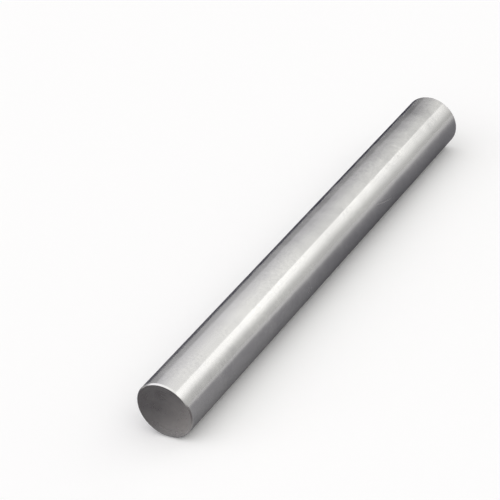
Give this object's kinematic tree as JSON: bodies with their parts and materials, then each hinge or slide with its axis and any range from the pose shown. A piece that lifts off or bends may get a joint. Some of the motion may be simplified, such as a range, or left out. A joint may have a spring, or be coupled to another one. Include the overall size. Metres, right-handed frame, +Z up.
{
  "type": "stainless steel round bar",
  "caption": "Solid round steel bar with a bright ground surface, square-cut flat ends and a small broken edge at each end.",
  "frame": {"origin": "on the floor, under the middle of the bar, on the line where it rests", "axes": "+Y along the bar's axis, +Z up, +X across the bar"},
  "size_m": [0.032, 0.3, 0.032],
  "materials": {
    "stainless_steel": "ground bright bar, satin"
  },
  "bodies": {
    "root": {"round_bar": "stainless_steel"}
  },
  "joints": []
}
